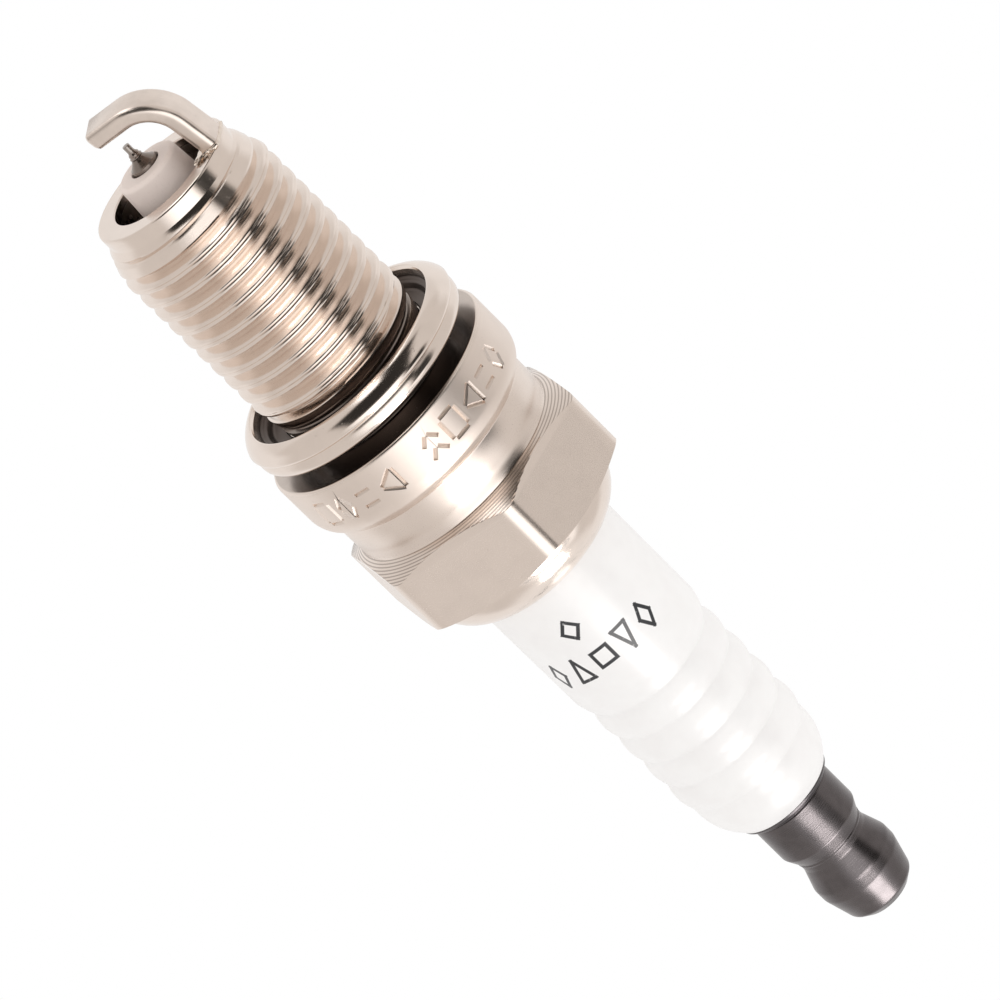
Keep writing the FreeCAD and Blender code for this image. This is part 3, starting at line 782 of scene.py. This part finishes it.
# the stem leans in towards the centre electrode
for vertex in strap.data.vertices:
    vertex.co.x += lean * (strap_root * MM - vertex.co.z)
smooth(strap, 35)
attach(strap, "root")
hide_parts("ground_electrode")


def drawn_alloy(name, colour, roughness):
    """Drawn nickel alloy: long faint drawing marks, a soft cloud and small dents."""
    material, bench, shader, in_mm = new_finish(name)
    stretched = bench.add(
        "ShaderNodeMapping", values={"Vector": in_mm, "Scale": (0.6, 5.0, 0.6)}
    )
    marks = grain(bench, stretched, 2.2, 4.0)
    cloud = grain(bench, in_mm, 1.1, 3.0)
    dents = grain(bench, in_mm, 4.5, 3.0).rises(0.62, 0.78)
    feed(
        shader,
        Base_Color=bench.blend(cloud.rises(0.3, 0.8), colour, tinted(colour, 0.9)),
        Metallic=1.0,
        Roughness=roughness + marks * 0.08 + dents * 0.05,
        Normal=bench.bump(0.6, 0.000008, marks * 0.7 + dents * 0.5),
    )
    return material


paint(strap, drawn_alloy("strap_alloy", nickel, 0.25))


# Weld bead: metal squeezed out round three sides of the bar's root when it was welded, left as it
# set, in small uneven lumps.
bead_size = (1.5, 2.86, 0.3)
bead_middle = ((strap_out + 0.72) * MM, 0, -19.46 * MM)
hold()
bpy.ops.mesh.primitive_cube_add(size=MM, location=bead_middle)
bead = bpy.context.object
bead.name = bead.data.name = "weld_bead"
bpy.ops.object.mode_set(mode="EDIT")
bpy.ops.transform.resize(value=bead_size, center_override=bead_middle)
bpy.ops.mesh.subdivide(number_cuts=24)
bpy.ops.object.mode_set(mode="OBJECT")
bpy.ops.object.transform_apply(location=True)
for vertex in bead.data.vertices:
    away = vertex.co - Vector(bead_middle)
    squashed = Vector([part / (size / 2) for part, size in zip(away, bead_size)]) / MM
    # most of the spatter is at the inner corner on one side
    rough_corner = max(0, 1 - math.hypot(squashed.x - 0.9, squashed.y + 1) / 0.9)
    lump = noise.noise(vertex.co / MM * 2.6) * (0.05 + 0.32 * rough_corner)
    lump += noise.noise(vertex.co / MM * 7.0) * (0.03 + 0.26 * rough_corner) + 0.28 * rough_corner
    spread = (abs(squashed.x) ** 6 + abs(squashed.y) ** 6 + abs(squashed.z) ** 3) ** (1 / 6)
    vertex.co = Vector(bead_middle) + away * ((1 + lump) / max(spread, 0.3) ** 0.55)
smooth(bead, 80)
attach(bead, "root")
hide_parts("ground_weld")
paint(bead, drawn_alloy("bead_alloy", (0.80, 0.70, 0.61, 1), 0.14))


# Insulator: one piece of pressed and fired alumina, glazed white above the shell, with ribs that
# lengthen the surface between the terminal and the shell, and left bare at the nose.
nose_end, collar_line, first_valley, rib_pitch = -20.68, 15.4, 25.5, 2.33
valley_radius, rib_radius = 4.63, 2.5
rib_corners = []
for rib in range(4):
    low = first_valley + rib * rib_pitch
    rib_corners.append((valley_radius, low, 0.3))
    rib_corners += bulge((valley_radius, low), (valley_radius, low + rib_pitch), rib_radius, 9)
last_valley = first_valley + 4 * rib_pitch
insulator_corners = rounded(
    [
        (1.06, nose_end, 0.05),
        (2.15, nose_end, 0.32),
        (3.05, -6.7),
        (4.05, -6.2),
        (4.05, 0.55),
        (6.0, 1.95),
        (6.0, 10.14),
        (4.92, 10.59),
        (4.92, collar_line - 0.02),
        (5.13, collar_line + 0.02),
        (5.09, 24.1),
        *bulge((5.09, 24.1), (valley_radius, first_valley), 4.2, 6),
        *rib_corners,
        (valley_radius, last_valley, 0.3),
        *bulge((valley_radius, last_valley), (3.66, 38.14), 4.1, 14),
        (3.58, 38.29, 0.08),
        (1.6, 38.29),
        (1.6, -8.5),
        (1.14, -8.5),
    ]
)
insulator = turned_piece("insulator_body", insulator_corners, sides)
smooth(insulator, 40)
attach(insulator, "root")
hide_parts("insulator")

ceramic, bench, shader, in_mm = new_finish("white_glaze")
x, y, z = bench.split(in_mm)
glazed = z.rises(14.0, 14.4)
speckle = grain(bench, in_mm, 6.0, 3.0)
cloud = grain(bench, in_mm, 0.5, 2.0)
bare_colour = bench.blend(
    speckle.rises(0.55, 0.75) * 0.25, (0.82, 0.715, 0.66, 1), (0.64, 0.53, 0.47, 1)
)
glaze_colour = bench.blend(cloud.rises(0.3, 0.8), (0.93, 0.925, 0.92, 1), (0.90, 0.89, 0.885, 1))
shade = bench.blend(glazed, bare_colour, glaze_colour)

# printed marks: plain shapes in black, laid out round the barrel by angle and height
barrel_radius = 5.11
round_the_barrel = y.maths("ARCTAN2", x)
ink_colour = (0.022, 0.024, 0.028, 1)


def mark_at(turn_degrees, height):
    """Millimetres along the barrel's surface and up it, from the middle of a mark."""
    turn = round_the_barrel - math.radians(camera_side + turn_degrees)
    turn = turn - (turn / (2 * math.pi)).maths("ROUND") * (2 * math.pi)
    return turn * barrel_radius, z - height


def line(mark, start, end, width):
    """Ink along a straight stroke."""
    a, b = mark
    (x0, y0), (x1, y1) = start, end
    length = math.hypot(x1 - x0, y1 - y0)
    ux, uy = (x1 - x0) / length, (y1 - y0) / length
    along = (a - x0) * ux + (b - y0) * uy
    off = abs((b - y0) * ux - (a - x0) * uy)
    beyond_end = (abs(along - length / 2) - length / 2).higher_of(0.0)
    return beyond_end.higher_of(off).falls(width / 2 - 0.025, width / 2 + 0.025)


def outline(mark, points, width):
    """Ink along a closed row of strokes."""
    level = None
    for start, end in closed(*points):
        stroke = line(mark, start, end, width)
        level = stroke if level is None else level.higher_of(stroke)
    return level


stroke_width = 0.24
upper_row, lower_row = 21.15, 18.4
tall_diamond = [(-0.5, 0.0), (0.0, 0.95), (0.5, 0.0), (0.0, -0.95)]
marks = [
    (-21, upper_row, tall_diamond),
    (-1, upper_row, [(-0.55, -0.9), (0.55, -0.9), (0.0, 0.9)]),
    (20, upper_row, [(-0.6, -0.6), (0.6, -0.6), (0.6, 0.6), (-0.6, 0.6)]),
    (42, upper_row, [(-0.55, 0.9), (0.55, 0.9), (0.0, -0.9)]),
    (63, upper_row, tall_diamond),
    (24, lower_row, [(-0.62, 0.0), (0.0, 0.75), (0.62, 0.0), (0.0, -0.75)]),
]
ink_level = None
for turn_degrees, mark_height, points in marks:
    ink = outline(mark_at(turn_degrees, mark_height), points, stroke_width)
    ink_level = ink if ink_level is None else ink_level.higher_of(ink)
worn = 1 - grain(bench, in_mm, 2.4, 4.0).rises(0.58, 0.80) * 0.55
shade = bench.blend(ink_level * worn * z.rises(16.0, 16.2), shade, ink_colour)
relief = speckle * (1 - glazed) * 1.5 + cloud * glazed * 0.8 + ink_level * 0.2
feed(
    shader,
    Base_Color=shade,
    Roughness=0.5 - glazed * 0.2 + speckle * 0.04,
    Coat_Weight=glazed * 0.25,
    Coat_Roughness=0.16,
    Normal=bench.bump(0.5, 0.00001, relief),
)
paint(insulator, ceramic)


# Packing and rings: a thin steel ring under the insulator's shoulder, and two wire rings with
# pressed talc between them under the crimp. All of them are sealed inside the shell.
def plain_steel(name, colour, roughness):
    """Unplated steel with a soft cloud and fine scratches."""
    material, bench, shader, in_mm = new_finish(name)
    cloud = grain(bench, in_mm, 2.0, 4.0)
    scratches = grain(bench, in_mm, 14.0, 2.0)
    feed(
        shader,
        Base_Color=bench.blend(cloud, colour, tinted(colour, 0.75)),
        Metallic=1.0,
        Roughness=roughness + scratches * 0.1,
        Normal=bench.bump(0.4, 0.000006, scratches),
    )
    return material


def pressed_powder(name, colour, dark_colour, roughness):
    """Packed or fused powder, with clumps of a second colour."""
    material, bench, shader, in_mm = new_finish(name)
    clumps = grain(bench, in_mm, 4.0, 5.0, 0.65)
    feed(
        shader,
        Base_Color=bench.blend(clumps.rises(0.35, 0.7), colour, dark_colour),
        Roughness=roughness,
        Normal=bench.bump(0.7, 0.00002, clumps),
    )
    return material


ring_steel = plain_steel("ring_wire_steel", (0.48, 0.47, 0.45, 1), 0.28)
for node in ("nose_packing", "lower_wire_ring", "upper_wire_ring"):
    paint(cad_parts[node], ring_steel)
paint(
    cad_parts["talc_ring"],
    pressed_powder("pressed_talc", (0.80, 0.78, 0.72, 1), (0.66, 0.63, 0.57, 1), 0.9),
)


# Centre electrode: a turned nickel-alloy rod on a copper core, coned where it leaves the nose, with
# a fine iridium wire laser welded to its end.
sheath = turned_piece(
    "centre_electrode",
    rounded(
        [
            (0.03, -21.4),
            (0.4, -21.4, 0.05),
            (0.54, -21.22, 0.1),
            (0.84, -20.93, 0.1),
            (0.92, -20.88, 0.03),
            (0.95, -20.6, 0.05),
            (1.03, -20.45),
            (1.03, -20.0),
            (1.12, -8.5),
            (1.57, -8.5),
            (1.57, -7.3),
            (0.65, -7.3),
            (0.65, -19.28),
            (0.03, -19.28),
        ]
    ),
    96,
    ends="caps",
)
smooth(sheath, 35)
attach(sheath, "root")
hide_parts("centre_electrode_sheath")
electrode_alloy = plating(
    "electrode_alloy", (0.27, 0.23, 0.205, 1), 0.2, turned=0.5, turned_pitch=0.07
)
paint(sheath, electrode_alloy)

fused_weld = turned_piece(
    "fused_weld",
    rounded(
        [
            (0.02, -21.41),
            (0.38, -21.41),
            (0.46, -21.48, 0.03),
            (0.34, -21.6, 0.05),
            (0.38, -21.68, 0.04),
            (0.27, -21.82, 0.04),
            (0.24, -21.9),
            (0.02, -21.9),
        ]
    ),
    64,
    ends="caps",
)
smooth(fused_weld, 50)
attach(fused_weld, "root")
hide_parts("tip_weld")
paint(fused_weld, drawn_alloy("fused_alloy", (0.38, 0.33, 0.30, 1), 0.16))

fine_wire = turned_piece(
    "fine_wire_tip",
    rounded([(0.01, -21.91), (0.24, -21.91), (0.24, -22.4, 0.03), (0.01, -22.42)]),
    48,
    ends="caps",
)
smooth(fine_wire, 35)
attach(fine_wire, "root")
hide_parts("iridium_tip")
paint(fine_wire, plating("iridium_wire", (0.4, 0.36, 0.33, 1), 0.22, turned=0.2))

copper, bench, shader, in_mm = new_finish("extruded_copper")
cloud = grain(bench, in_mm, 2.0, 4.0)
feed(
    shader,
    Base_Color=bench.blend(cloud, (0.84, 0.42, 0.26, 1), (0.62, 0.27, 0.16, 1)),
    Metallic=1.0,
    Roughness=0.25 + cloud * 0.15,
)
paint(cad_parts["centre_electrode_core"], copper)


# Resistor and seals: copper-glass powder and a carbon-glass resistor, fused in the insulator's
# bore. They join the electrode to the terminal stud and are never seen.
seal_glass = pressed_powder("seal_glass", (0.34, 0.22, 0.17, 1), (0.16, 0.11, 0.10, 1), 0.45)
for node in ("lower_glass_seal", "upper_glass_seal"):
    paint(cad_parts[node], seal_glass)
paint(
    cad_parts["resistor"],
    pressed_powder("resistor_glass", (0.16, 0.16, 0.165, 1), (0.06, 0.06, 0.065, 1), 0.55),
)


# Terminal stud: turned steel with a knurled end in the seal, a flange that rests on the insulator
# and an M4 post for the nut.
stud_corners = [
    (0.05, 7.5),
    (1.25, 7.5, 0.05),
    (1.25, 10.0),
    (1.57, 10.0),
    (1.57, 38.3),
    (3.58, 38.3, 0.06),
    (3.5, 38.5, 0.08),
    (3.28, 38.7, 0.04),
    (3.26, 38.74, 0.01),
    (1.95, 38.75),
]
post_radius, post_root = 1.95, 1.68
post_rings, first_ring, post_pitch = 9, 39.3, 0.7
for turn in range(post_rings):
    foot = first_ring + turn * post_pitch
    stud_corners += [
        (post_radius, foot, 0.02),
        (post_root, foot + 0.28),
        (post_root, foot + 0.36),
        (post_radius, foot + 0.64, 0.02),
    ]
stud_corners += [(post_radius, 46.1), (1.55, 46.5, 0.05), (0.05, 46.5)]
stud = turned_piece("terminal_post", rounded(stud_corners, 2), 96, ends="caps")
smooth(stud, 30)
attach(stud, "root")
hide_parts("terminal_stud")


def satin_plate(name, colour, roughness):
    """Satin dark plate over turned steel, with fine marks round the axis and rubbed specks."""
    material, bench, shader, in_mm = new_finish(name)
    z = bench.split(in_mm)[2]
    cloud = grain(bench, in_mm, 0.9, 4.0)
    speckle = grain(bench, in_mm, 16.0, 2.0)
    flattened = bench.add(
        "ShaderNodeMapping", values={"Vector": in_mm, "Scale": (1.0, 1.0, 14.0)}
    )
    turning_marks = grain(bench, flattened, 1.6, 3.0)
    shade = bench.blend(cloud.rises(0.3, 0.75), colour, tinted(colour, 0.8))
    shade = bench.blend(speckle.rises(0.62, 0.72) * 0.3, shade, tinted(colour, 1.6))
    rings = ((z + cloud * 0.03) * (2 * math.pi / 0.16)).sine()
    relief = turning_marks * 0.9 + speckle * 0.5 + rings * 0.08
    feed(
        shader,
        Base_Color=shade,
        Metallic=1.0,
        Roughness=roughness + turning_marks * 0.08,
        Normal=bench.bump(0.6, 0.000008, relief),
    )
    return material


paint(stud, satin_plate("stud_plate", (0.13, 0.12, 0.125, 1), 0.26))


# Terminal nut: turned steel, screwed down on the post, with a waist that the plug cap's spring
# clips into. It comes off for caps that clip on the bare post.
nut = turned_piece(
    "terminal_cap_nut",
    [(0.03, 47.15), (2.0, 47.15)]
    + rounded(
        [
            (2.0, 38.76),
            (2.86, 38.76, 0.05),
            (3.02, 38.98, 0.12),
            (3.02, 41.85, 0.35),
            (2.66, 42.62, 0.25),
            (2.60, 42.74, 0.02),
            (2.56, 42.84, 0.02),
            (2.59, 42.92, 0.03),
            (2.54, 43.04, 0.03),
            (2.53, 43.5, 0.6),
            (3.03, 45.1, 0.9),
            (3.03, 45.95, 0.9),
            (2.52, 48.0, 0.5),
            (1.85, 48.6, 0.35),
            (0.9, 48.8, 0.3),
            (0.03, 48.8),
        ],
        6,
    ),
    sides,
    ends="caps",
)
smooth(nut, 35)
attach(nut, "nut")
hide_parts("terminal_nut")
paint(nut, satin_plate("nut_plate", (0.145, 0.132, 0.135, 1), 0.24))
